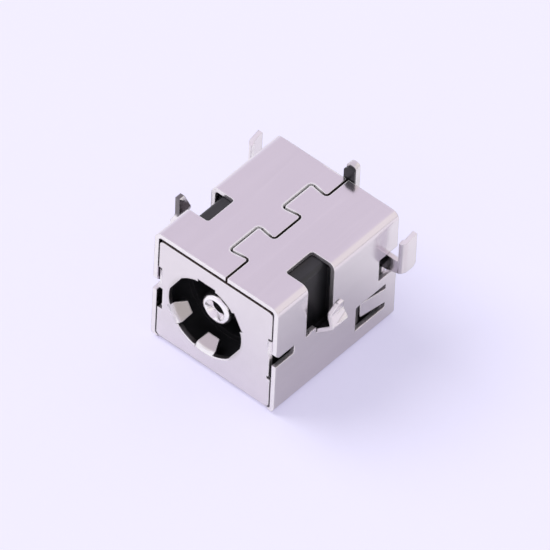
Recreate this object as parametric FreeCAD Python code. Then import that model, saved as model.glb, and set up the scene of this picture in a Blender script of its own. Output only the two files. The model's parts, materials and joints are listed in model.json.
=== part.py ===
import FreeCAD, Part
import math
import os

# A shielded dc power jack, lying on its plain face with its solder legs up.
# X runs across the mouth, the plug goes in along +Y, the legs point up +Z.

# shell box
shell_width = 10.95
shell_depth = 12.4
shell_height = 10.1
sheet = 0.35
shell_corner_radius = 0.6
fold_radius = 0.5
fold_slit = 0.1
fold_end = 0.25
small_corner = 0.12

# mouth and centre line
mouth_x = -0.82
mouth_z = 4.9
mouth_diameter = 6.45
mouth_flat_distance = 3.08
mouth_flats = 6

# front plate, folded up from the floor of the shell
plate_side_gap = 0.13
plate_top_gap = 0.22
plate_top_corner = 0.35
ear_low = 5.45
ear_high = 6.7
ear_length = 1.25
ear_side_gap = 0.05
relief_depth = 0.28
relief_height = 0.28
low_relief_z = 3.05
left_recess_depth = 0.4
left_recess_height = 2.0
right_recess_depth = 0.12

# leaf contacts, bent in from the rim of the mouth
leaf_root_width = 1.55
leaf_tip_width = 0.88
leaf_length = 1.15
leaf_lean = 0.6
leaf_bend_radius = 0.4
leaf_bend_room = 0.55
leaf_overlap = 0.2
leaf_angles = (30, 90, 210, 270)

# dovetail seam along the top
seam_gap = 0.12
seam_x = 0.88
seam_finger_end_x = -0.67
seam_finger_length = 3.0
seam_finger_flare = 0.24
seam_finger_starts = (-4.1, 1.28)
seam_corner_radius = 0.25

# windows over both top corners
window_inner_x = 3.43
window_front = -3.12
window_rear = -0.42
window_low = 5.35
window_notch_width = 0.45
window_notch_depth = 0.15
window_corner_radius = 0.22

# slots in the side walls
edge_slot_rear = -4.3
edge_slot_low = 4.6
edge_slot_high = 5.4
edge_slot_flare = 0.3
front_nick = 0.2
latch_slot_front = 2.1
latch_slot_rear = 5.2
latch_slot_low = 1.65
latch_slot_high = 3.95
latch_slot_width = 0.5
latch_end_gap = 0.85
latch_push = 0.33
wing_slot_front = 4.35
wing_slot_low = 4.78
wing_slot_high = 6.88
wing_slot_step_y = 5.7
wing_slot_step_z = 5.12

# front solder legs, kinked so that they hold in the board
front_leg_y = -1.25
front_leg_width = 1.5
front_leg_shoulder_width = 1.25
front_leg_tip_width = 0.5
front_leg_taper = 1.1
front_leg_slit = 0.08
front_leg_root_z = 4.8
front_leg_knee_z = 6.15
front_leg_waist_z = 7.05
front_leg_tip_z = 8.22
front_leg_waist_depth = 0.42
front_leg_tip_lean = 0.36
front_leg_bend = 0.3
right_front_reach = 6.95
left_front_reach = 7.75

# rear flap with the two rear solder legs
flap_rear = 5.5
flap_notch_low = 2.3
flap_side_gap = 0.05
boss_clearance = 0.15
wing_low = 5.4
wing_gap = 0.05
wing_corner = 0.25
blade_low = 5.85
blade_length = 1.32
blade_front_top = 8.62
blade_rear_top = 9.0
blade_corner = 0.25
blade_bend = 0.3
right_rear_reach = 6.9
left_rear_reach = 7.2

# plastic housing
housing_fit = 0.05
housing_side_room = 0.525
housing_front_gap = 0.08
housing_rear_gap = 0.05
rib_low = 0.9
rib_gap = 0.3
rib_lap = 0.3
rib_corner = 0.1
ledge_top = 5.5
leaf_room = 0.3
barrel_diameter = 6.55
barrel_depth = 9.2
mouth_room_depth = 2.1
boss_diameter = 4.2
boss_rear = 6.45

# plastic guard in front of the centre terminal
guard_left = 0.45
guard_right = 1.37
guard_top = 11.1
guard_gap = 0.07
guard_corner = 0.3

# centre pin
pin_diameter = 2.5
pin_tip_recess = 1.0
pin_nose_radius = 0.35
pin_funnel_diameter = 1.72
pin_funnel_depth = 0.5
pin_bore_diameter = 1.15
pin_bore_depth = 4.0
pin_flange_diameter = 3.6
pin_flange_thickness = 0.5
pin_tail_diameter = 1.6
rivet_head_diameter = 2.2
rivet_head_height = 0.25
rivet_taper = 0.2

# centre terminal
terminal_thickness = 0.5
terminal_leg_x = 0.95
terminal_leg_width = 0.85
terminal_top = 11.4
terminal_eye_half = 1.25
terminal_eye_corner = 0.8
terminal_tip_corner = 0.35

half_width = shell_width / 2
front = -shell_depth / 2
rear = shell_depth / 2
inner_half = half_width - sheet
inner_top = shell_height - sheet
inner_corner_radius = shell_corner_radius - sheet
fold_half = half_width - shell_corner_radius - fold_slit / 2
flap_half = inner_half - flap_side_gap
flap_front = flap_rear - sheet
flap_post_inner = abs(mouth_x) + boss_diameter / 2 + boss_clearance
wing_high = wing_slot_high - wing_gap
latch_end = latch_slot_front + latch_end_gap
housing_core_half = inner_half - housing_side_room
housing_front = front + sheet + housing_front_gap
housing_rear = flap_front - housing_rear_gap
beyond = 1.0
through = 20.0


def rounded_wire(points, place):
    # points are (u, v) or (u, v, radius); place turns (u, v) into a vector
    corners = [(p[0], p[1], p[2] if len(p) > 2 else 0.0) for p in points]
    count = len(corners)
    starts, ends, middles = [], [], []
    for i in range(count):
        u, v, radius = corners[i]
        before = corners[i - 1]
        after = corners[(i + 1) % count]
        ax, ay = before[0] - u, before[1] - v
        bx, by = after[0] - u, after[1] - v
        la, lb = math.hypot(ax, ay), math.hypot(bx, by)
        ax, ay, bx, by = ax / la, ay / la, bx / lb, by / lb
        angle = math.acos(max(-1.0, min(1.0, ax * bx + ay * by)))
        if radius <= 1e-6 or angle > math.pi - 1e-3:
            starts.append((u, v))
            ends.append((u, v))
            middles.append(None)
            continue
        back = radius / math.tan(angle / 2)
        starts.append((u + ax * back, v + ay * back))
        ends.append((u + bx * back, v + by * back))
        hx, hy = ax + bx, ay + by
        hl = math.hypot(hx, hy)
        reach = radius / math.sin(angle / 2) - radius
        middles.append((u + hx / hl * reach, v + hy / hl * reach))
    edges = []
    for i in range(count):
        if middles[i] is not None:
            arc = Part.Arc(place(*starts[i]), place(*middles[i]), place(*ends[i]))
            edges.append(arc.toShape())
        a = ends[i]
        b = starts[(i + 1) % count]
        if math.hypot(a[0] - b[0], a[1] - b[1]) > 1e-6:
            edges.append(Part.makeLine(place(*a), place(*b)))
    return Part.Wire(edges)


def front_view(points, y0, y1):
    wire = rounded_wire(points, lambda x, z: FreeCAD.Vector(x, y0, z))
    return Part.Face(wire).extrude(FreeCAD.Vector(0, y1 - y0, 0))


def side_view(points, x0, x1):
    wire = rounded_wire(points, lambda y, z: FreeCAD.Vector(x0, y, z))
    return Part.Face(wire).extrude(FreeCAD.Vector(x1 - x0, 0, 0))


def top_view(points, z0, z1):
    wire = rounded_wire(points, lambda x, y: FreeCAD.Vector(x, y, z0))
    return Part.Face(wire).extrude(FreeCAD.Vector(0, 0, z1 - z0))


def rectangle(u0, u1, v0, v1, radius=0.0):
    return [(u0, v0, radius), (u1, v0, radius), (u1, v1, radius), (u0, v1, radius)]


def strip(path, thickness):
    # path is a centre line of (u, v, bend radius); the answer is the outline of a sheet along it
    half = thickness / 2
    left, right = [], []
    last = len(path) - 1
    for i, (u, v, radius) in enumerate(path):
        before = path[max(i - 1, 0)]
        after = path[min(i + 1, last)]
        into = (u - before[0], v - before[1]) if i > 0 else (after[0] - u, after[1] - v)
        out = (after[0] - u, after[1] - v) if i < last else into
        la, lb = math.hypot(*into), math.hypot(*out)
        mx = -into[1] / la - out[1] / lb
        my = into[0] / la + out[0] / lb
        scale = 2.0 / (mx * mx + my * my) * half
        turns_left = into[0] * out[1] - into[1] * out[0] > 0
        inner = max(radius - half, 0.02) if radius else 0.0
        outer = radius + half if radius else 0.0
        left.append((u + mx * scale, v + my * scale, inner if turns_left else outer))
        right.append((u - mx * scale, v - my * scale, outer if turns_left else inner))
    return left + right[::-1]


def box(x0, x1, y0, y1, z0, z1):
    return Part.makeBox(x1 - x0, y1 - y0, z1 - z0, FreeCAD.Vector(x0, y0, z0))


def rod(diameter, y0, y1, x=mouth_x, z=mouth_z):
    return Part.makeCylinder(diameter / 2, y1 - y0, FreeCAD.Vector(x, y0, z), FreeCAD.Vector(0, 1, 0))


def mirrored(shape):
    return shape.mirror(FreeCAD.Vector(0, 0, 0), FreeCAD.Vector(1, 0, 0))


def join(shapes):
    return shapes[0].multiFuse(shapes[1:]).removeSplitter()


def about_mouth(shape, angle):
    # turns a shape that was drawn below the origin to its angle round the mouth
    shape.rotate(FreeCAD.Vector(0, 0, 0), FreeCAD.Vector(0, 1, 0), -(angle + 90))
    shape.translate(FreeCAD.Vector(mouth_x, 0, mouth_z))
    return shape


def seam_cutter():
    path = [(seam_x, front - beyond, 0.0)]
    for start in seam_finger_starts:
        stop = start + seam_finger_length
        path.append((seam_x, start + seam_finger_flare, seam_corner_radius))
        path.append((seam_finger_end_x, start, seam_corner_radius))
        path.append((seam_finger_end_x, stop, seam_corner_radius))
        path.append((seam_x, stop - seam_finger_flare, seam_corner_radius))
    path.append((seam_x, rear + beyond, 0.0))
    return top_view(strip(path, seam_gap), inner_top - sheet, shell_height + sheet)


def side_cutters():
    outside = half_width + beyond
    inside = inner_half - sheet
    above = shell_height + beyond
    leg_front = front_leg_y - front_leg_width / 2 - front_leg_slit
    leg_rear = front_leg_y + front_leg_width / 2 + front_leg_slit
    notch_low = window_low - window_notch_depth
    notch_rear = window_front + window_notch_width
    window_top = top_view(rectangle(window_inner_x, outside, window_front, window_rear, window_corner_radius),
                          inner_top - shell_corner_radius - beyond, above)
    window_side = side_view([(window_front, notch_low, small_corner), (notch_rear, notch_low, small_corner),
                             (notch_rear, window_low), (window_rear, window_low),
                             (window_rear, above), (window_front, above)], inside, outside)
    leg_slot = side_view(rectangle(leg_front, leg_rear, front_leg_root_z, above, small_corner), inside, outside)
    edge_slot = side_view([(front - beyond, edge_slot_low), (edge_slot_rear, edge_slot_low, small_corner),
                           (edge_slot_rear, edge_slot_high, small_corner),
                           (front + edge_slot_flare, edge_slot_high),
                           (front - beyond, edge_slot_high + beyond + edge_slot_flare)], inside, outside)
    latch_slot = side_view(rectangle(latch_slot_front, latch_slot_rear, latch_slot_low, latch_slot_high,
                                     small_corner), inside, outside)
    wing_slot = side_view([(wing_slot_front, wing_slot_low, small_corner), (wing_slot_step_y, wing_slot_low),
                           (wing_slot_step_y, wing_slot_step_z), (rear + beyond, wing_slot_step_z),
                           (rear + beyond, wing_slot_high), (wing_slot_front, wing_slot_high, small_corner)],
                          inside, outside)
    nick = side_view([(front - beyond, -beyond), (front + front_nick, -beyond), (front + front_nick, 0.0),
                      (front, front_nick), (front - beyond, front_nick)], fold_half, outside)
    return [window_top, window_side, leg_slot, edge_slot, latch_slot, wing_slot, nick]


def latch_tongue():
    # stays joined to the wall at its rear end and leans into the shell
    low = latch_slot_low + latch_slot_width
    high = latch_slot_high - latch_slot_width
    root = latch_slot_rear + rib_lap
    tongue = side_view([(latch_end, low, small_corner), (root, low), (root, high),
                        (latch_end, high, small_corner)], inner_half, half_width)
    lean = math.degrees(math.asin(latch_push / (latch_slot_rear - latch_end)))
    tongue.rotate(FreeCAD.Vector(half_width, latch_slot_rear, 0), FreeCAD.Vector(0, 0, 1), -lean)
    return tongue.common(box(inner_half - beyond, half_width, latch_end - beyond, root, low, high))


def front_leg(reach):
    # a strap out of the wall, folded back at the knee, with a narrow tip; drawn for the right side
    wall = half_width - sheet / 2
    knee = reach - sheet / 2
    waist = knee - front_leg_waist_depth
    tip = waist + front_leg_tip_lean
    path = [(wall, front_leg_root_z - 2 * sheet, 0.0), (wall, front_leg_root_z, front_leg_bend),
            (knee, front_leg_knee_z, front_leg_bend), (waist, front_leg_waist_z, 2 * front_leg_bend),
            (tip, front_leg_tip_z, 0.0)]
    half = front_leg_width / 2
    shoulder_half = front_leg_shoulder_width / 2
    tip_half = front_leg_tip_width / 2
    shoulder = front_leg_tip_z - front_leg_taper
    strap = front_view(strip(path, sheet), front_leg_y - half, front_leg_y + half)
    outline = side_view([(front_leg_y - half, 0), (front_leg_y + half, 0), (front_leg_y + half, front_leg_knee_z),
                         (front_leg_y + shoulder_half, shoulder),
                         (front_leg_y + tip_half, front_leg_tip_z, small_corner),
                         (front_leg_y - tip_half, front_leg_tip_z, small_corner),
                         (front_leg_y - shoulder_half, shoulder),
                         (front_leg_y - half, front_leg_knee_z)], 0, through)
    return strap.common(outline)


def front_plate():
    edge = inner_half - plate_side_gap
    top = inner_top - plate_top_gap
    back = front + sheet
    low = sheet + fold_slit
    turn = back + beyond
    plate = front_view([(-edge, low, inner_corner_radius), (edge, low, inner_corner_radius),
                        (edge, top, plate_top_corner), (-edge, top, plate_top_corner)], front, back)
    foot = side_view([(turn, 0.0), (turn, sheet), (back, sheet, fold_radius - sheet), (back, sheet + beyond),
                      (front, sheet + beyond), (front, 0.0, fold_radius)], -fold_half, fold_half)
    plate = plate.fuse(foot)
    relief_top = low_relief_z + relief_height
    cuts = [rectangle(-edge - beyond, -edge + left_recess_depth, low_relief_z,
                      low_relief_z + left_recess_height, small_corner / 2),
            rectangle(edge - right_recess_depth, edge + beyond, relief_top, ear_low, 0.0)]
    for side in (1, -1):
        x0, x1 = sorted((side * (edge - relief_depth), side * (edge + beyond)))
        cuts.append(rectangle(x0, x1, low_relief_z, relief_top, small_corner / 2))
        cuts.append(rectangle(x0, x1, ear_high, ear_high + relief_height, small_corner / 2))
    for cut in cuts:
        plate = plate.cut(front_view(cut, front - beyond, back + beyond))
    # the ears turn back along the side walls
    ear_x = inner_half - ear_side_gap - sheet / 2
    flat = front + sheet / 2
    ear_path = [(edge - beyond, flat, 0.0), (ear_x, flat, sheet / 2 + ear_side_gap),
                (ear_x, front + ear_length, 0.0)]
    ear = top_view(strip(ear_path, sheet), ear_low, ear_high)
    room = box(ear_x - 2 * sheet, half_width, front - beyond, back, ear_low, ear_high)
    plate = plate.cut(room).cut(mirrored(room))
    return plate.fuse(ear).fuse(mirrored(ear))


def mouth_cutter():
    hole = rod(mouth_diameter, front - beyond, front + sheet + beyond)
    for k in range(mouth_flats):
        flat = box(-through, through, front - through, front + through, -through, -mouth_flat_distance)
        hole = hole.cut(about_mouth(flat, leaf_angles[0] + 360.0 / mouth_flats * k))
    for angle in leaf_angles:
        half = leaf_root_width / 2
        room = box(-half, half, front - beyond, front + sheet + beyond,
                   -(mouth_flat_distance + leaf_bend_room), -beyond)
        hole = hole.fuse(about_mouth(room, angle))
    return hole


def leaf(angle):
    # drawn pointing down from the mouth's rim, with its inner face level with the rim at the bend
    flat = front + sheet / 2
    seat = mouth_flat_distance + sheet / 2
    end = front + leaf_length
    path = [(flat, -(seat + leaf_bend_room + leaf_overlap), 0.0), (flat, -seat, leaf_bend_radius),
            (end, -(seat - leaf_lean), 0.0)]
    shape = side_view(strip(path, sheet), -leaf_root_width, leaf_root_width)
    root, tip = leaf_root_width / 2, leaf_tip_width / 2
    back = front + sheet
    outline = top_view([(-root, front - beyond), (root, front - beyond), (root, back), (tip, end),
                        (tip, end + sheet), (-tip, end + sheet), (-tip, end), (-root, back)], -through, through)
    return about_mouth(shape.common(outline), angle)


def rear_leg(reach):
    # one side of the flap and the wing and blade that leave the shell through its slot; for the right side
    blade = reach - sheet / 2
    middle = flap_front + sheet / 2
    end = flap_front + blade_length
    path = [(flap_post_inner, middle, 0.0), (blade, middle, blade_bend), (blade, end, 0.0)]
    bent = top_view(strip(path, sheet), shell_corner_radius, blade_rear_top + sheet)
    blade_inside = reach - sheet - small_corner
    face = front_view([(flap_post_inner, sheet + shell_corner_radius), (flap_half, sheet + shell_corner_radius),
                       (flap_half, wing_low, small_corner), (half_width, wing_low),
                       (reach, blade_low), (reach + beyond, blade_low),
                       (reach + beyond, blade_rear_top + beyond), (blade_inside, blade_rear_top + beyond),
                       (blade_inside, wing_high, small_corner), (flap_post_inner, wing_high, wing_corner)],
                      flap_front - beyond, rear + beyond)
    slope = (blade_rear_top - blade_front_top) / blade_length
    side = side_view([(flap_front - beyond, 0.0), (end, 0.0), (end, blade_rear_top, small_corner / 2),
                      (flap_front - beyond, blade_front_top - slope * beyond)], 0, through)
    corner = side_view([(end - blade_corner, blade_low - beyond), (end + beyond, blade_low - beyond),
                        (end + beyond, blade_low + blade_corner), (end, blade_low + blade_corner),
                        (end - blade_corner, blade_low)], flap_half + sheet, through)
    return bent.common(face).common(side).cut(corner)


def rear_flap():
    turn = flap_front - beyond
    foot = side_view([(turn, 0.0), (flap_rear, 0.0, fold_radius), (flap_rear, flap_notch_low),
                      (flap_front, flap_notch_low), (flap_front, sheet, fold_radius - sheet), (turn, sheet)],
                     -fold_half, fold_half)
    return foot.multiFuse([rear_leg(right_rear_reach), mirrored(rear_leg(left_rear_reach))])


def build_shell():
    outer = front_view(rectangle(-half_width, half_width, 0, shell_height, shell_corner_radius), front, rear)
    inner = front_view(rectangle(-inner_half, inner_half, sheet, inner_top, inner_corner_radius),
                       front - beyond, rear + beyond)
    right = side_cutters()
    slit = fold_half + fold_slit
    cutters = [seam_cutter()] + right + [mirrored(c) for c in right]
    cutters.append(box(-slit, slit, front - beyond, front + fold_radius + fold_end, -beyond, 2 * sheet))
    cutters.append(box(-slit, slit, flap_rear - fold_radius - fold_end, rear + beyond, -beyond, 2 * sheet))
    tube = outer.cut(inner).cut(Part.makeCompound(cutters))
    plate = front_plate().cut(mouth_cutter())
    pieces = [tube, plate, rear_flap(), latch_tongue(), mirrored(latch_tongue()),
              front_leg(right_front_reach), mirrored(front_leg(left_front_reach))]
    pieces += [leaf(angle) for angle in leaf_angles]
    return join(pieces)


def build_housing():
    core = front_view(rectangle(-housing_core_half, housing_core_half, sheet + housing_fit,
                                inner_top - housing_fit, rib_gap), housing_front, housing_rear)
    side = inner_half - housing_fit
    behind_latch = side - latch_push
    pieces = [core, rod(boss_diameter, housing_rear - beyond, boss_rear)]
    ribs = [(side, edge_slot_rear + rib_gap, latch_end - rib_corner, rib_low, edge_slot_low - rib_gap),
            (side, window_rear + rib_gap, wing_slot_front - rib_gap, edge_slot_low - rib_gap,
             shell_height - beyond),
            (side, wing_slot_front - beyond, housing_rear, edge_slot_low - rib_gap, ledge_top),
            (behind_latch, latch_end, housing_rear, rib_low, edge_slot_low)]
    for reach, y0, y1, z0, z1 in ribs:
        rib = side_view(rectangle(y0, y1, z0, z1, rib_corner), housing_core_half - rib_lap, reach)
        pieces += [rib, mirrored(rib)]
    guard_foot = box(guard_left, guard_right, housing_rear - beyond, boss_rear, mouth_z, inner_top - rib_gap)
    guard = front_view([(guard_left, mouth_z), (guard_right, mouth_z), (guard_right, guard_top),
                        (guard_left + guard_corner, guard_top), (guard_left, guard_top - guard_corner)],
                       rear + guard_gap, boss_rear)
    body = join(pieces + [guard_foot, guard])
    mouth_room = rod((mouth_flat_distance + sheet + leaf_room) * 2, housing_front - beyond,
                     housing_front + mouth_room_depth)
    barrel = rod(barrel_diameter, housing_front - beyond, housing_front + barrel_depth)
    tail_hole = rod(pin_tail_diameter, 0, boss_rear + beyond)
    return body.cut(mouth_room).cut(barrel).cut(tail_hole)


def build_pin():
    tip = front + pin_tip_recess
    seat = housing_front + barrel_depth
    radius = pin_diameter / 2
    bore = pin_bore_diameter / 2
    funnel = pin_funnel_diameter / 2
    tail = pin_tail_diameter / 2
    flange = pin_flange_diameter / 2
    head = rivet_head_diameter / 2
    back = boss_rear + terminal_thickness
    profile = [(0, tip + pin_bore_depth), (bore, tip + pin_bore_depth - bore / 2),
               (bore, tip + pin_funnel_depth), (funnel, tip), (radius, tip, pin_nose_radius),
               (radius, seat - pin_flange_thickness), (flange, seat - pin_flange_thickness, rib_corner),
               (flange, seat), (tail, seat), (tail, back), (head, back),
               (head - rivet_taper, back + rivet_head_height, rib_corner), (0, back + rivet_head_height)]
    wire = rounded_wire(profile, lambda x, y: FreeCAD.Vector(mouth_x + x, y, mouth_z))
    return Part.Face(wire).revolve(FreeCAD.Vector(mouth_x, 0, mouth_z), FreeCAD.Vector(0, 1, 0), 360)


def build_terminal():
    left = terminal_leg_x - terminal_leg_width / 2
    right = terminal_leg_x + terminal_leg_width / 2
    eye = terminal_eye_half
    outline = [(mouth_x - eye, mouth_z - eye, terminal_eye_corner), (right, mouth_z - eye, terminal_tip_corner),
               (right, terminal_top, terminal_tip_corner), (left, terminal_top, terminal_tip_corner),
               (left, mouth_z + eye, terminal_tip_corner), (mouth_x - eye, mouth_z + eye, terminal_eye_corner)]
    plate = front_view(outline, boss_rear, boss_rear + terminal_thickness)
    return plate.cut(rod(pin_tail_diameter, boss_rear - beyond, boss_rear + terminal_thickness + beyond))


os.makedirs("parts", exist_ok=True)
nodes = {
    "shield_shell": build_shell(),
    "housing": build_housing(),
    "centre_pin": build_pin(),
    "centre_terminal": build_terminal(),
}
for name, shape in nodes.items():
    if len(shape.Solids) == 1:
        shape = shape.Solids[0]
    print(name, "valid", shape.isValid(), "solids", len(shape.Solids), "volume", round(shape.Volume, 3),
          shape.BoundBox)
    shape.exportStep("parts/" + name + ".step")
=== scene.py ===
import bpy
import bmesh
import json
import math
from mathutils import Matrix, Vector

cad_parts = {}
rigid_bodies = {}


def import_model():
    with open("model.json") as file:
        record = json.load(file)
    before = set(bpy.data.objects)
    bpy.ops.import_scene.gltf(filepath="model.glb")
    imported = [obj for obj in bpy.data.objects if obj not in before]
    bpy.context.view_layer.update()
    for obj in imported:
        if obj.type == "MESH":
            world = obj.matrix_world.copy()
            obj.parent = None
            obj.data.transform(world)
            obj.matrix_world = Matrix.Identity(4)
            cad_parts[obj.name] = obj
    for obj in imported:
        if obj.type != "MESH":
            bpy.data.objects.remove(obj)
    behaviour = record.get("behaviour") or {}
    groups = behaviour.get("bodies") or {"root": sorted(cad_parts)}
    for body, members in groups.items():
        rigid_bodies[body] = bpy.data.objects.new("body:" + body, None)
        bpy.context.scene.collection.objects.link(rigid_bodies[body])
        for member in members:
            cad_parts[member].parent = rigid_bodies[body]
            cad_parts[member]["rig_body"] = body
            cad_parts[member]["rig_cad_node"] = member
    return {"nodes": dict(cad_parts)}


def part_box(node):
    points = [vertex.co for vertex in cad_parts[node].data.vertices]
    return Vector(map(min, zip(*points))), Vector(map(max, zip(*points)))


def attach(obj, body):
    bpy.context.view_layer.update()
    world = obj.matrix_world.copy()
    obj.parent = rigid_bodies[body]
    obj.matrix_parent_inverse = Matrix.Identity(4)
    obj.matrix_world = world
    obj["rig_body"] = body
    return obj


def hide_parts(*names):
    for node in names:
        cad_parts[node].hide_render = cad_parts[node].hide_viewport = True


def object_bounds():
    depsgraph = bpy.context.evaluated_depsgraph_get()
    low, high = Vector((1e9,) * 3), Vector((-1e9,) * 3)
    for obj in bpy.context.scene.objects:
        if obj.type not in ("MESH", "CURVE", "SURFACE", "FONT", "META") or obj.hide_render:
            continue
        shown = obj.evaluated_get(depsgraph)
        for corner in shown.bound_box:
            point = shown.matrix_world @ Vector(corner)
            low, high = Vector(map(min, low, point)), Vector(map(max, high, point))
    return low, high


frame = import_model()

cadLow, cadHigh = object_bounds()
print("frame loaded:", ", ".join(sorted(frame["nodes"])))

mm = 0.001

common = {
    "mergeWithin": 0.0005 * mm,
    "flatWithin": 0.3,
    "roundSegments": 2,
    "flatWeight": 85,
    "edgeSamples": 6,
    "scratchTilt": (0.4, 0.7, 1.0),
    "scratchStretch": (1.0, 0.03, 1.0),
    "scratchSoft": 0.8,
}


class Wire:
    # one socket of a recipe, so that plain sums in Python add Math nodes
    def __init__(self, recipe, socket):
        self.recipe = recipe
        self.socket = socket

    def sum(self, operation, a, b=None, clamp=False):
        values = {0: a} if b is None else {0: a, 1: b}
        return self.recipe.node("ShaderNodeMath", {"operation": operation, "use_clamp": clamp}, values)

    def __add__(self, other):
        return self.sum("ADD", self, other)

    def __radd__(self, other):
        return self.sum("ADD", other, self)

    def __sub__(self, other):
        return self.sum("SUBTRACT", self, other)

    def __rsub__(self, other):
        return self.sum("SUBTRACT", other, self)

    def __mul__(self, other):
        return self.sum("MULTIPLY", self, other)

    def __rmul__(self, other):
        return self.sum("MULTIPLY", other, self)

    def __abs__(self):
        return self.sum("ABSOLUTE", self)

    def root(self):
        return self.sum("SQRT", self)

    def clamped(self):
        return self.sum("ADD", self, 0.0, clamp=True)

    def most(self, other):
        return self.sum("MAXIMUM", self, other)

    def above(self, level, soft):
        # 0 below level - soft, 1 above level + soft
        return self.recipe.ramp(self, level - soft, level + soft)

    def below(self, level, soft):
        return 1.0 - self.above(level, soft)


class Recipe:
    # a node tree, and the few nodes that the finishes and the studio share
    def __init__(self, tree, outputKind):
        self.tree = tree
        tree.nodes.clear()
        self.output = tree.nodes.new(outputKind)

    def node(self, kind, settings=None, values=None, out=0):
        made = self.tree.nodes.new(kind)
        for key, value in (settings or {}).items():
            setattr(made, key, value)
        for key, value in (values or {}).items():
            if isinstance(value, Wire):
                self.tree.links.new(value.socket, made.inputs[key])
            else:
                made.inputs[key].default_value = value
        return Wire(self, made.outputs[out])

    def ramp(self, value, low, high):
        return self.node("ShaderNodeMapRange", {"interpolation_type": "SMOOTHSTEP"},
                         {"Value": value, "From Min": low, "From Max": high})

    def blend(self, factor, a, b):
        # in this node the colours are inputs 6 and 7 and output 2
        return self.node("ShaderNodeMix", {"data_type": "RGBA"}, {0: factor, 6: a, 7: b}, out=2)

    def split(self, vector):
        parts = self.tree.nodes.new("ShaderNodeSeparateXYZ")
        self.tree.links.new(vector.socket, parts.inputs[0])
        return [Wire(self, part) for part in parts.outputs]

    def end(self, wire):
        self.tree.links.new(wire.socket, self.output.inputs["Surface"])


class Finish(Recipe):
    # one procedural material
    def __init__(self, name):
        self.material = bpy.data.materials.new(name)
        self.material.use_nodes = True
        super().__init__(self.material.node_tree, "ShaderNodeOutputMaterial")

    def place(self):
        return self.node("ShaderNodeTexCoord", out="Object")

    def noise(self, scale, detail, roughness, stretch=(1, 1, 1)):
        place = self.node("ShaderNodeMapping", values={"Vector": self.place(), "Scale": stretch})
        return self.node("ShaderNodeTexNoise", values={"Vector": place, "Scale": scale,
                                                       "Detail": detail, "Roughness": roughness})

    def scratches(self, scale, turn, thin):
        # long thin lines across the sheet, most of it bare
        tilt = [turn * part for part in common["scratchTilt"]]
        turned = self.node("ShaderNodeMapping", values={"Vector": self.place(), "Rotation": tilt,
                                                        "Scale": common["scratchStretch"]})
        lines = self.node("ShaderNodeTexNoise", values={"Vector": turned, "Scale": scale, "Detail": 1.0})
        return abs(lines - 0.5).below(thin, thin * common["scratchSoft"])

    def rounded(self, radius):
        # the normal of an edge as if it were rounded
        return self.node("ShaderNodeBevel", {"samples": common["edgeSamples"]}, {"Radius": radius})

    def edges(self, radius, gain):
        # the rounded normal, and where it leaves the flat one
        normal = self.rounded(radius)
        flat = self.node("ShaderNodeNewGeometry", out="True Normal")
        alike = self.node("ShaderNodeVectorMath", {"operation": "DOT_PRODUCT"}, {0: normal, 1: flat}, out="Value")
        return normal, ((1.0 - alike) * gain).clamped()

    def bump(self, height, distance, normal=None):
        values = {"Height": height, "Distance": distance, "Strength": 1.0}
        if normal is not None:
            values["Normal"] = normal
        return self.node("ShaderNodeBump", values=values)

    def surface(self, **values):
        self.end(self.node("ShaderNodeBsdfPrincipled", values={k.replace("_", " "): v for k, v in values.items()}))
        return self.material


def brighter(colour, factor):
    return [factor * part for part in colour[:3]] + [1]


def selectOnly(piece):
    bpy.ops.object.select_all(action="DESELECT")
    piece.select_set(True)
    bpy.context.view_layer.objects.active = piece


def editMode(on):
    bpy.ops.object.mode_set(mode="EDIT" if on else "OBJECT")


def applied(kind, **settings):
    # adds a modifier to the active piece, sets it and applies it
    bpy.ops.object.modifier_add(type=kind)
    modifier = bpy.context.object.modifiers[-1]
    for key, value in settings.items():
        setattr(modifier, key, value)
    bpy.ops.object.modifier_apply(modifier=modifier.name)


def copyOf(node, name):
    # the CAD solid as a piece of its own, its loose triangles merged and its flats made whole
    source = frame["nodes"][node]
    piece = source.copy()
    piece.data = source.data.copy()
    piece.parent = None
    piece.name = name
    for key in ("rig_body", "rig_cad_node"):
        if key in piece:
            del piece[key]
    bpy.context.scene.collection.objects.link(piece)
    selectOnly(piece)
    editMode(True)
    bpy.ops.mesh.select_all(action="SELECT")
    bpy.ops.mesh.remove_doubles(threshold=common["mergeWithin"])
    bpy.ops.mesh.dissolve_limited(angle_limit=math.radians(common["flatWithin"]))
    editMode(False)
    return piece


def softened(piece, corner, width=None):
    # edges get a small round if a width is given, and the flats keep their own normals
    selectOnly(piece)
    if width is not None:
        applied("BEVEL", width=width, segments=common["roundSegments"], limit_method="ANGLE",
                angle_limit=math.radians(corner), use_clamp_overlap=True, miter_outer="MITER_SHARP",
                harden_normals=False)
    bpy.ops.object.shade_smooth_by_angle(angle=math.radians(corner))
    applied("WEIGHTED_NORMAL", mode="FACE_AREA", weight=common["flatWeight"], keep_sharp=True)


def dress(piece, *materials):
    # new materials, with each face's slot kept
    slots = [face.material_index for face in piece.data.polygons]
    piece.data.materials.clear()
    for material in materials:
        piece.data.materials.append(material)
    for face, index in zip(piece.data.polygons, slots):
        face.material_index = index


def finishPiece(piece, node, slot, *materials):
    dress(piece, *materials)
    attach(piece, "root")
    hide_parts(node)
    print("piece", piece.name, len(piece.data.polygons), "faces")


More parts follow.
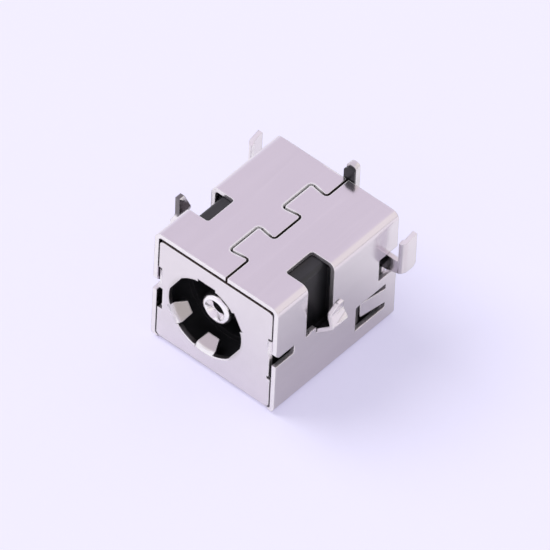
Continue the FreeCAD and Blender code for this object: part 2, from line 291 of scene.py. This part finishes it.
sheetMetal = {
    "nickel": (0.805, 0.765, 0.81, 1),
    "dull": (0.715, 0.675, 0.72, 1),
    "burnishedAndHighlight": (0.97, 0.955, 0.965, 1),
    "cutEdge": (0.93, 0.905, 0.925, 1),
    "grimeAndShade": (0.055, 0.038, 0.036, 1),
    "dustBrighter": 1.8,
    "leafShade": (0.52, 0.49, 0.475, 1),
    "legShade": (0.085, 0.075, 0.08, 1),
    "roughness": 0.18,
    "roughnessSpread": 0.10,
    "cutRoughness": 0.3,
    "cutRoughnessSpread": 0.1,
    "cutMetallic": 0.92,
    "grimeRoughness": 0.5,
    "grimeRoughnessSpread": 0.2,
    "seamLitMetallic": 0.3,
    "corner": 32,
    "mouthAt": (-0.82 * mm, 4.9 * mm),
    "thickness": 0.35 * mm,
    "cutSlot": 1,
    "seamSlot": 2,
    "edgeRound": 0.11 * mm,
    "edgeGain": 8.0,
    "seamWear": 0.03 * mm,
    "seamHighlightRadius": 0.2 * mm,
    "seamGain": 60.0,
    # noises: scale, detail, roughness and stretch
    "streaks": (900, 3, 0.55, (1.0, 0.035, 1.0)),
    "cloud": (260, 2, 0.5),
    "speck": (5200, 2, 0.6),
    "waves": (170, 1, 0.4),
    "cutMarks": (2600, 2, 0.6),
    "dust": (3000, 2, 0.6),
    # scratches: scale, turn and thinness
    "longScratches": (700, 0.5, 0.010),
    "shortScratches": (520, 2.1, 0.008),
    "waveHeight": 0.010 * mm,
    "grainHeight": 0.0012 * mm,
    "cutHeight": 0.0008 * mm,
    "dustHeight": 0.004 * mm,
    # how much of each shade is laid on
    "dullMix": (0.6, 0.4),
    "grainMix": (0.5, 0.5, 0.15),
    "dullShare": 0.35,
    "scratchShare": 0.05,
    "seamHighlightShare": 0.85,
    "tipShare": (0.35, 0.9),
    "brightShare": 0.6,
    "cutShare": 0.4,
    "darkShare": 0.85,
    # where they lie: level and softness
    "dullFrom": (0.5, 0.22),
    "cutFrom": (0.5, 0.3),
    "leafTip": (3.2 * mm, 0.3 * mm),
    "foldInner": (3.08 * mm, 0.08 * mm),
    "foldOuter": (3.36 * mm, 0.03 * mm),
    "lowLeafTop": (2.4 * mm, 0.4 * mm),
    "rimRadius": (3.5 * mm, 0.1 * mm),
    "rimFront": (-5.84 * mm, 0.02 * mm),
    "legInner": (-6.98 * mm, 0.03 * mm),
    "legEdge": (-6.9 * mm, 0.05 * mm),
    "legLow": (7.0 * mm, 0.2 * mm),
    "legRear": (2 * mm, 1 * mm),
    "legFacing": (0.45, 0.15),
    "shineRight": (0.35 * mm, 0.25 * mm),
    "shineLeft": (-1.2 * mm, 0.1 * mm),
    "shineLow": (10.0 * mm, 0.05 * mm),
    "shineFront": (-5.8 * mm, 0.1 * mm),
    "seamLitRight": (0.3 * mm, 0.3 * mm),
    "seamLitLow": (9.88 * mm, 0.06 * mm),
    "seamLitFront": (-5.9 * mm, 0.1 * mm),
    # the seam's room on the top, and the gap round the front plate
    "cutSlack": 1.03,
    "seamHalf": 1.3 * mm,
    "seamLow": 9.7 * mm,
    "plateRear": -5.8 * mm,
    "plateSide": 6.3 * mm,
    "plateTop": 9.4 * mm,
    "facesFront": 0.99,
}


def fromMouth(x, z):
    # the distance from the mouth's middle line
    across, up = x - sheetMetal["mouthAt"][0], z - sheetMetal["mouthAt"][1]
    return (across * across + up * up).root()


def leafShade(f):
    # painted shade and highlight: the leaves in the mouth are darkened towards their tips, and the lower one gets
    # a painted highlight along its fold
    x, _, z = f.split(f.place())
    away = fromMouth(x, z)
    foldHighlight = away.above(*sheetMetal["foldInner"]) * away.below(*sheetMetal["foldOuter"])
    return away.below(*sheetMetal["leafTip"]), foldHighlight * z.below(*sheetMetal["lowLeafTop"])


def legShade(f):
    # painted shade: the left front leg's inner face is coloured dark, standing in for its reflection of the black
    # side of the housing
    x, y, _ = f.split(f.place())
    facing, _, _ = f.split(f.node("ShaderNodeNewGeometry", out="True Normal"))
    legShadeMask = x.below(*sheetMetal["legInner"]) * y.below(*sheetMetal["legRear"])
    return legShadeMask * facing.above(*sheetMetal["legFacing"])


def seamHighlight(f):
    # painted highlight: the top of the sheet is made bright along the fingers' left sides beside the seam
    x, y, z = f.split(f.place())
    _, shine = f.edges(sheetMetal["seamHighlightRadius"], sheetMetal["seamGain"])
    beside = x.below(*sheetMetal["shineRight"]) * x.above(*sheetMetal["shineLeft"])
    return shine * beside * z.above(*sheetMetal["shineLow"]) * y.above(*sheetMetal["shineFront"])


def nickelSheet():
    f = Finish("nickelSheet")
    streaks = f.noise(*sheetMetal["streaks"])
    cloud = f.noise(*sheetMetal["cloud"])
    speck = f.noise(*sheetMetal["speck"])
    lines = f.scratches(*sheetMetal["longScratches"]).most(f.scratches(*sheetMetal["shortScratches"]))
    normal, edgeWearAndSheen = f.edges(sheetMetal["edgeRound"], sheetMetal["edgeGain"])
    tipShade, foldHighlight = leafShade(f)
    # edge wear with painted sheen, plus painted highlights on the leaf's fold and beside the seam: made bright and
    # less metallic
    highlightAndWear = edgeWearAndSheen.most(foldHighlight).most(seamHighlight(f) * sheetMetal["seamHighlightShare"])
    ofStreaks, ofCloud = sheetMetal["dullMix"]
    dull = (streaks * ofStreaks + cloud * ofCloud).above(*sheetMetal["dullFrom"])
    tipLeast, tipMore = sheetMetal["tipShare"]
    colour = f.blend(dull * sheetMetal["dullShare"], sheetMetal["nickel"], sheetMetal["dull"])
    colour = f.blend(lines * sheetMetal["scratchShare"], colour, sheetMetal["burnishedAndHighlight"])
    # painted shade: darker towards the leaf tips
    colour = f.blend(tipShade * (tipLeast + tipMore * cloud), colour, sheetMetal["leafShade"])
    # painted shade on the left front leg's inner face
    colour = f.blend(legShade(f), colour, sheetMetal["legShade"])
    colour = f.blend(highlightAndWear, colour, sheetMetal["burnishedAndHighlight"])
    rough = sheetMetal["roughness"] + sheetMetal["roughnessSpread"] * (cloud * 0.5 + streaks * 0.5 - 0.5)
    waved = f.bump(f.noise(*sheetMetal["waves"]), sheetMetal["waveHeight"], normal)
    inStreaks, inSpeck, inLines = sheetMetal["grainMix"]
    grain = streaks * inStreaks + speck * inSpeck + lines * inLines
    grained = f.bump(grain, sheetMetal["grainHeight"], waved)
    return f.surface(Base_Color=colour, Metallic=1.0 - sheetMetal["brightShare"] * highlightAndWear, Roughness=rough,
                     Normal=grained)


def cutEdges():
    # sheared through the sheet: brighter, rougher, with painted shade on the mouth's rim and the left front leg,
    # standing in for their reflection of the black housing
    f = Finish("cutEdges")
    marks = f.noise(*sheetMetal["cutMarks"])
    x, y, z = f.split(f.place())
    legShadeMask = x.below(*sheetMetal["legEdge"]) * y.below(*sheetMetal["legRear"]) * z.above(*sheetMetal["legLow"])
    rimShadeMask = fromMouth(x, z).below(*sheetMetal["rimRadius"]) * y.below(*sheetMetal["rimFront"])
    colour = f.blend(marks.above(*sheetMetal["cutFrom"]) * sheetMetal["cutShare"],
                     sheetMetal["cutEdge"], sheetMetal["nickel"])
    # painted shade on the mouth's rim and on the left front leg's cut face
    colour = f.blend((rimShadeMask + legShadeMask) * sheetMetal["darkShare"], colour, sheetMetal["legShade"])
    return f.surface(Base_Color=colour, Metallic=sheetMetal["cutMetallic"],
                     Roughness=sheetMetal["cutRoughness"] + sheetMetal["cutRoughnessSpread"] * (marks - 0.5),
                     Normal=f.bump(marks, sheetMetal["cutHeight"], f.rounded(sheetMetal["edgeRound"])))


def seamGrimeAndShade():
    # dirt and painted shade in the narrow seam, with a painted highlight along the top of the fingers' left sides
    f = Finish("seamGrimeAndShade")
    x, y, z = f.split(f.place())
    dust = f.noise(*sheetMetal["dust"])
    # painted highlight along the top of the seam's left sides
    seamLitTop = x.below(*sheetMetal["seamLitRight"]) * z.above(*sheetMetal["seamLitLow"]) * y.above(*sheetMetal["seamLitFront"])
    colour = f.blend(dust, sheetMetal["grimeAndShade"], brighter(sheetMetal["grimeAndShade"], sheetMetal["dustBrighter"]))
    colour = f.blend(seamLitTop, colour, sheetMetal["burnishedAndHighlight"])
    return f.surface(Base_Color=colour, Metallic=sheetMetal["seamLitMetallic"] * seamLitTop,
                     Roughness=sheetMetal["grimeRoughness"] + sheetMetal["grimeRoughnessSpread"] * (dust - 0.5),
                     Normal=f.bump(dust, sheetMetal["dustHeight"], f.rounded(sheetMetal["edgeRound"])))


def cutSlotAt(face):
    # a cut face beside the seam, or beside the front plate, is narrow and takes the finish of dirt and painted
    # shade
    at = face.calc_center_median()
    alongTop = abs(at.x) < sheetMetal["seamHalf"] and at.z > sheetMetal["seamLow"]
    outward = abs(at.x) > sheetMetal["plateSide"] or at.z > sheetMetal["plateTop"]
    roundPlate = at.y < sheetMetal["plateRear"] and outward
    narrow = (alongTop or roundPlate) and abs(face.normal.y) < sheetMetal["facesFront"]
    return sheetMetal["seamSlot"] if narrow else sheetMetal["cutSlot"]


def markCutFaces(piece):
    # a patch that sharp edges close in, no wider than the sheet, is a cut through it
    corner = math.radians(sheetMetal["corner"])
    mesh = bmesh.new()
    mesh.from_mesh(piece.data)
    sharp = {e.index for e in mesh.edges if len(e.link_faces) != 2 or e.calc_face_angle(0) > corner}
    seen = set()
    for first in mesh.faces:
        if first.index in seen:
            continue
        patch, queue = [], [first]
        seen.add(first.index)
        while queue:
            face = queue.pop()
            patch.append(face)
            for edge in face.edges:
                if edge.index in sharp:
                    continue
                for other in edge.link_faces:
                    if other.index not in seen:
                        seen.add(other.index)
                        queue.append(other)
        area = sum(face.calc_area() for face in patch)
        rim = sum(edge.calc_length() for face in patch for edge in face.edges if edge.index in sharp)
        if area < rim / 2 * sheetMetal["thickness"] * sheetMetal["cutSlack"]:
            for face in patch:
                face.material_index = cutSlotAt(face)
    mesh.to_mesh(piece.data)
    mesh.free()


def widenSeam(piece):
    # the sheared sides of the seam, and of the gap round the front plate, give way a little
    selectOnly(piece)
    piece.active_material_index = sheetMetal["seamSlot"]
    editMode(True)
    bpy.ops.mesh.select_mode(type="FACE")
    bpy.ops.mesh.select_all(action="DESELECT")
    bpy.ops.object.material_slot_select()
    bpy.ops.transform.shrink_fatten(value=-sheetMetal["seamWear"], use_even_offset=True)
    editMode(False)


shell = copyOf("shield_shell", "shellSheet")
dress(shell, None, None, None)
markCutFaces(shell)
widenSeam(shell)
softened(shell, sheetMetal["corner"])
finishPiece(shell, "shield_shell", "plated_sheet", nickelSheet(), cutEdges(), seamGrimeAndShade())


plasticBody = {
    "black": (0.016, 0.016, 0.019, 1),
    "scuffed": (0.05, 0.05, 0.058, 1),
    "roughness": 0.42,
    "roughnessSpread": 0.16,
    "corner": 32,
    "edgeRound": 0.05 * mm,
    "edgeGain": 3.0,
    "edgeShare": 0.5,
    "skin": (2600, 3, 0.6),
    "skinHeight": 0.004 * mm,
    "cloud": (420, 2, 0.5),
    "cloudFrom": (0.55, 0.2),
    "cloudShare": 0.35,
}


def blackPlastic():
    f = Finish("blackPlastic")
    skin = f.noise(*plasticBody["skin"])
    cloud = f.noise(*plasticBody["cloud"])
    normal, edgeWearAndSheen = f.edges(plasticBody["edgeRound"], plasticBody["edgeGain"])
    # scuffs at random, and edges made lighter: edge wear and painted sheen
    scuffsAndEdgeSheen = cloud.above(*plasticBody["cloudFrom"]) * plasticBody["cloudShare"] + edgeWearAndSheen * plasticBody["edgeShare"]
    colour = f.blend(scuffsAndEdgeSheen, plasticBody["black"], plasticBody["scuffed"])
    rough = plasticBody["roughness"] + plasticBody["roughnessSpread"] * (cloud - 0.5)
    return f.surface(Base_Color=colour, Roughness=rough, Normal=f.bump(skin, plasticBody["skinHeight"], normal))


housing = copyOf("housing", "plasticBody")
softened(housing, plasticBody["corner"], plasticBody["edgeRound"])
finishPiece(housing, "housing", "black_plastic", blackPlastic())


contactPin = {
    "highlightAndWear": (0.99, 0.98, 0.99, 1),
    "groove": (0.93, 0.915, 0.93, 1),
    "bore": (0.05, 0.048, 0.05, 1),
    "boreBrighter": 2.0,
    "roughness": 0.20,
    "cloudSpread": 0.08,
    "ringSpread": 0.03,
    "boreRoughness": 0.4,
    "boreRoughnessSpread": 0.1,
    "boreMetallic": 0.6,
    "rings": (3000, 2, 0.5, (0.05, 1.0, 0.05)),
    "ringFrom": (0.5, 0.2),
    "ringShare": 0.6,
    "ringHeight": 0.0015 * mm,
    "cloud": (700, 2, 0.5),
    "boreCloud": (1500, 2, 0.5),
    "boreCloudFrom": (0.5, 0.2),
    "edgeRound": 0.03 * mm,
    "corner": 24,
    "boreRadius": 0.62 * mm,
    "boreFrom": -4.68 * mm,
    "boreSlot": 1,
}


def turnedMetal():
    f = Finish("turnedPin")
    rings = f.noise(*contactPin["rings"])
    cloud = f.noise(*contactPin["cloud"])
    colour = f.blend(rings.above(*contactPin["ringFrom"]) * contactPin["ringShare"],
                     contactPin["highlightAndWear"], contactPin["groove"])
    rough = contactPin["roughness"] + contactPin["cloudSpread"] * (cloud - 0.5) + contactPin["ringSpread"] * rings
    return f.surface(Base_Color=colour, Metallic=1.0, Roughness=rough,
                     Normal=f.bump(rings, contactPin["ringHeight"]))


# painted shade: a near-black finish for the inside of the pin's bore, where shade falls
def boreDepth():
    f = Finish("boreDepth")
    cloud = f.noise(*contactPin["boreCloud"])
    colour = f.blend(cloud.above(*contactPin["boreCloudFrom"]),
                     contactPin["bore"], brighter(contactPin["bore"], contactPin["boreBrighter"]))
    return f.surface(Base_Color=colour, Metallic=contactPin["boreMetallic"],
                     Roughness=contactPin["boreRoughness"] + contactPin["boreRoughnessSpread"] * (cloud - 0.5))


pin = copyOf("centre_pin", "contactPin")
softened(pin, contactPin["corner"], contactPin["edgeRound"])
pinLow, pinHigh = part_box("centre_pin")
axis = (Vector(pinLow) + Vector(pinHigh)) / 2
finishPiece(pin, "centre_pin", "plated_pin", turnedMetal(), boreDepth())
# painted shade: the faces deep in the pin's bore take the near-black finish
for face in pin.data.polygons:
    away = math.hypot(face.center.x - axis.x, face.center.z - axis.z)
    if away < contactPin["boreRadius"] and contactPin["boreFrom"] < face.center.y < 0:
        face.material_index = contactPin["boreSlot"]


terminalLeg = {
    "tin": (0.80, 0.78, 0.79, 1),
    "dull": (0.66, 0.64, 0.66, 1),
    "roughness": 0.24,
    "roughnessSpread": 0.12,
    "corner": 32,
    "edgeRound": 0.04 * mm,
    "edgeWearAndSheenRadius": 0.05 * mm,
    "edgeGain": 5.0,
    "edgeShare": 0.6,
    "cloud": (1100, 3, 0.6),
    "cloudFrom": (0.5, 0.2),
    "cloudShare": 0.7,
    "grain": (1600, 2, 0.5, (1.0, 1.0, 0.06)),
    "grainHeight": 0.002 * mm,
}


def tinnedLeg():
    f = Finish("tinnedLeg")
    cloud = f.noise(*terminalLeg["cloud"])
    grain = f.noise(*terminalLeg["grain"])
    normal, edgeWearAndSheen = f.edges(terminalLeg["edgeWearAndSheenRadius"], terminalLeg["edgeGain"])
    colour = f.blend(cloud.above(*terminalLeg["cloudFrom"]) * terminalLeg["cloudShare"],
                     terminalLeg["tin"], terminalLeg["dull"])
    # edges turned bright: edge wear and painted sheen
    colour = f.blend(edgeWearAndSheen * terminalLeg["edgeShare"], colour, sheetMetal["burnishedAndHighlight"])
    rough = terminalLeg["roughness"] + terminalLeg["roughnessSpread"] * (cloud - 0.5)
    return f.surface(Base_Color=colour, Metallic=1.0, Roughness=rough,
                     Normal=f.bump(grain, terminalLeg["grainHeight"], normal))


terminal = copyOf("centre_terminal", "pinTerminal")
softened(terminal, terminalLeg["corner"], terminalLeg["edgeRound"])
finishPiece(terminal, "centre_terminal", "plated_terminal", tinnedLeg())


studio = {
    "floorSize": 1.2,
    "floorColour": (0.865, 0.835, 0.945, 1),
    "floorGlow": (0.37, 0.355, 0.502, 1),
    "floorSeen": (0.523, 0.505, 0.572, 1),
    "floorNear": (0.91, 0.885, 0.97, 1),
    "floorFar": (1.0, 0.98, 1.0, 1),
    "floorWarm": (0.98, 0.93, 0.95, 1),
    "farFrom": (6 * mm, 15 * mm),
    "warmFloorFrom": (11 * mm, 16 * mm),
    "mirroredGlow": 0.15,
    "backdrop": (0.905, 0.872, 0.99, 1),
    "ambient": (0.60, 0.595, 0.61, 1),
    "overhead": (0.80, 0.725, 0.835, 1),
    "overheadFrom": (0.05, 0.75),
    "warmWall": (0.97, 0.905, 0.915, 1),
    "warmToward": (0.85, 0.53),
    "warmFrom": (0.35, 0.2),
    "warmUpTo": (0.86, 0.10),
    "skirting": (0.45, 0.43, 0.44, 1),
    "skirtingUpTo": (0.06, 0.03),
    "softBox": (1.08, 1.05, 1.11, 1),
    "softBoxToward": (-0.55, -0.60, 0.58),
    "softBoxFrom": (0.965, 0.02),
    "keyStrength": 1.75,
    "keyAngle": 42,
    "keyFrom": (-0.85, -0.25, 1.0),
}


def makeFloor():
    bpy.ops.object.select_all(action="DESELECT")
    bpy.ops.mesh.primitive_plane_add(size=studio["floorSize"], location=(0, 0, cadLow.z))
    floor = bpy.context.object
    floor.name = "studioFloor"
    f = Finish("paleFloor")
    camera = f.node("ShaderNodeLightPath", out="Is Camera Ray")
    mirror = f.node("ShaderNodeLightPath", out="Is Glossy Ray")
    place = f.place()
    x, _, _ = f.split(place)
    away = f.node("ShaderNodeVectorMath", {"operation": "LENGTH"}, {0: place}, out="Value")
    # seen only in the metal's reflections: the floor is painted darker near the part, a painted shade, and warmer
    # to the right
    mirroredFloor = f.blend(f.ramp(away, *studio["farFrom"]), studio["floorNear"], studio["floorFar"])
    mirroredFloor = f.blend(f.ramp(x, *studio["warmFloorFrom"]), mirroredFloor, studio["floorWarm"])
    matt, shiny, seen = [f.node("ShaderNodeBsdfDiffuse", values={"Color": colour})
                         for colour in (studio["floorColour"], mirroredFloor, studio["floorSeen"])]
    glow = f.node("ShaderNodeEmission", values={"Color": studio["floorGlow"]})
    shown = f.node("ShaderNodeAddShader", values={0: seen, 1: glow})
    lit = f.node("ShaderNodeMixShader", values={0: mirror, 1: matt, 2: shiny})
    share = camera.most(mirror * studio["mirroredGlow"])
    f.end(f.node("ShaderNodeMixShader", values={0: share, 1: lit, 2: shown}))
    floor.data.materials.append(f.material)


def makeWorld():
    world = bpy.data.worlds.new("paleStudio")
    bpy.context.scene.world = world
    world.use_nodes = True
    w = Recipe(world.node_tree, "ShaderNodeOutputWorld")
    camera, mirror, through = [w.node("ShaderNodeLightPath", out=name)
                               for name in ("Is Camera Ray", "Is Glossy Ray", "Is Transmission Ray")]
    x, y, z = w.split(w.node("ShaderNodeTexCoord", out="Generated"))
    warmX, warmY = studio["warmToward"]
    boxX, boxY, boxZ = studio["softBoxToward"]
    toRight = (x * warmX + y * warmY).above(*studio["warmFrom"])
    toBox = (x * boxX + y * boxY + z * boxZ).above(*studio["softBoxFrom"])
    sky = w.blend(w.ramp(z, *studio["overheadFrom"]), studio["backdrop"], studio["overhead"])
    sky = w.blend(toRight * z.below(*studio["warmUpTo"]), sky, studio["warmWall"])
    sky = w.blend(toRight * z.below(*studio["skirtingUpTo"]), sky, studio["skirting"])
    sky = w.blend(toBox, sky, studio["softBox"])
    colour = w.blend(mirror.most(through), studio["ambient"], sky)
    colour = w.blend(camera, colour, studio["backdrop"])
    w.end(w.node("ShaderNodeBackground", values={"Color": colour}))


def makeLamp():
    lamp = bpy.data.lights.new("softKey", "SUN")
    lamp.energy = studio["keyStrength"]
    lamp.angle = math.radians(studio["keyAngle"])
    holder = bpy.data.objects.new("softKey", lamp)
    holder.rotation_mode = "QUATERNION"
    holder.rotation_quaternion = Vector(studio["keyFrom"]).to_track_quat("Z", "Y")
    holder.visible_glossy = False  # the metal mirrors the soft box in the world instead
    bpy.context.scene.collection.objects.link(holder)


shot = {
    "azimuth": 38.794,
    "elevation": 46.882,
    "roll": 2.941,
    "pixelsPerMm": 14.860,
    "centrePixel": (274.68, 273.55),
    "aim": (0.0, 0.0, 5.05),
    "distance": 1.2,
    "imageSize": 550,
    "sensor": 36,
    "nearest": 0.01,
    "farthest": 10,
}


def makeCamera():
    a = math.radians(shot["azimuth"])
    e = math.radians(shot["elevation"])
    r = math.radians(shot["roll"])
    back = Vector((math.sin(a) * math.cos(e), -math.cos(a) * math.cos(e), math.sin(e)))
    right = Vector((math.cos(a), math.sin(a), 0))
    up = back.cross(right)
    right, up = math.cos(r) * right + math.sin(r) * up, math.cos(r) * up - math.sin(r) * right
    half = shot["imageSize"] / 2
    offX = (half - shot["centrePixel"][0]) / shot["pixelsPerMm"] * mm
    offY = (shot["centrePixel"][1] - half) / shot["pixelsPerMm"] * mm
    data = bpy.data.cameras.new("photoCamera")
    data.sensor_width = shot["sensor"]
    data.lens = shot["pixelsPerMm"] / mm * shot["distance"] * data.sensor_width / shot["imageSize"]
    data.clip_start = shot["nearest"]
    data.clip_end = shot["farthest"]
    camera = bpy.data.objects.new("photoCamera", data)
    camera.rotation_mode = "QUATERNION"
    camera.rotation_quaternion = Matrix((right, up, back)).transposed().to_quaternion()
    camera.location = Vector(shot["aim"]) * mm + right * offX + up * offY + back * shot["distance"]
    bpy.context.scene.collection.objects.link(camera)
    bpy.context.scene.camera = camera


makeFloor()
makeWorld()
makeLamp()
makeCamera()
bpy.context.scene.view_settings.view_transform = "Standard"
print("stage, lamp and camera made")
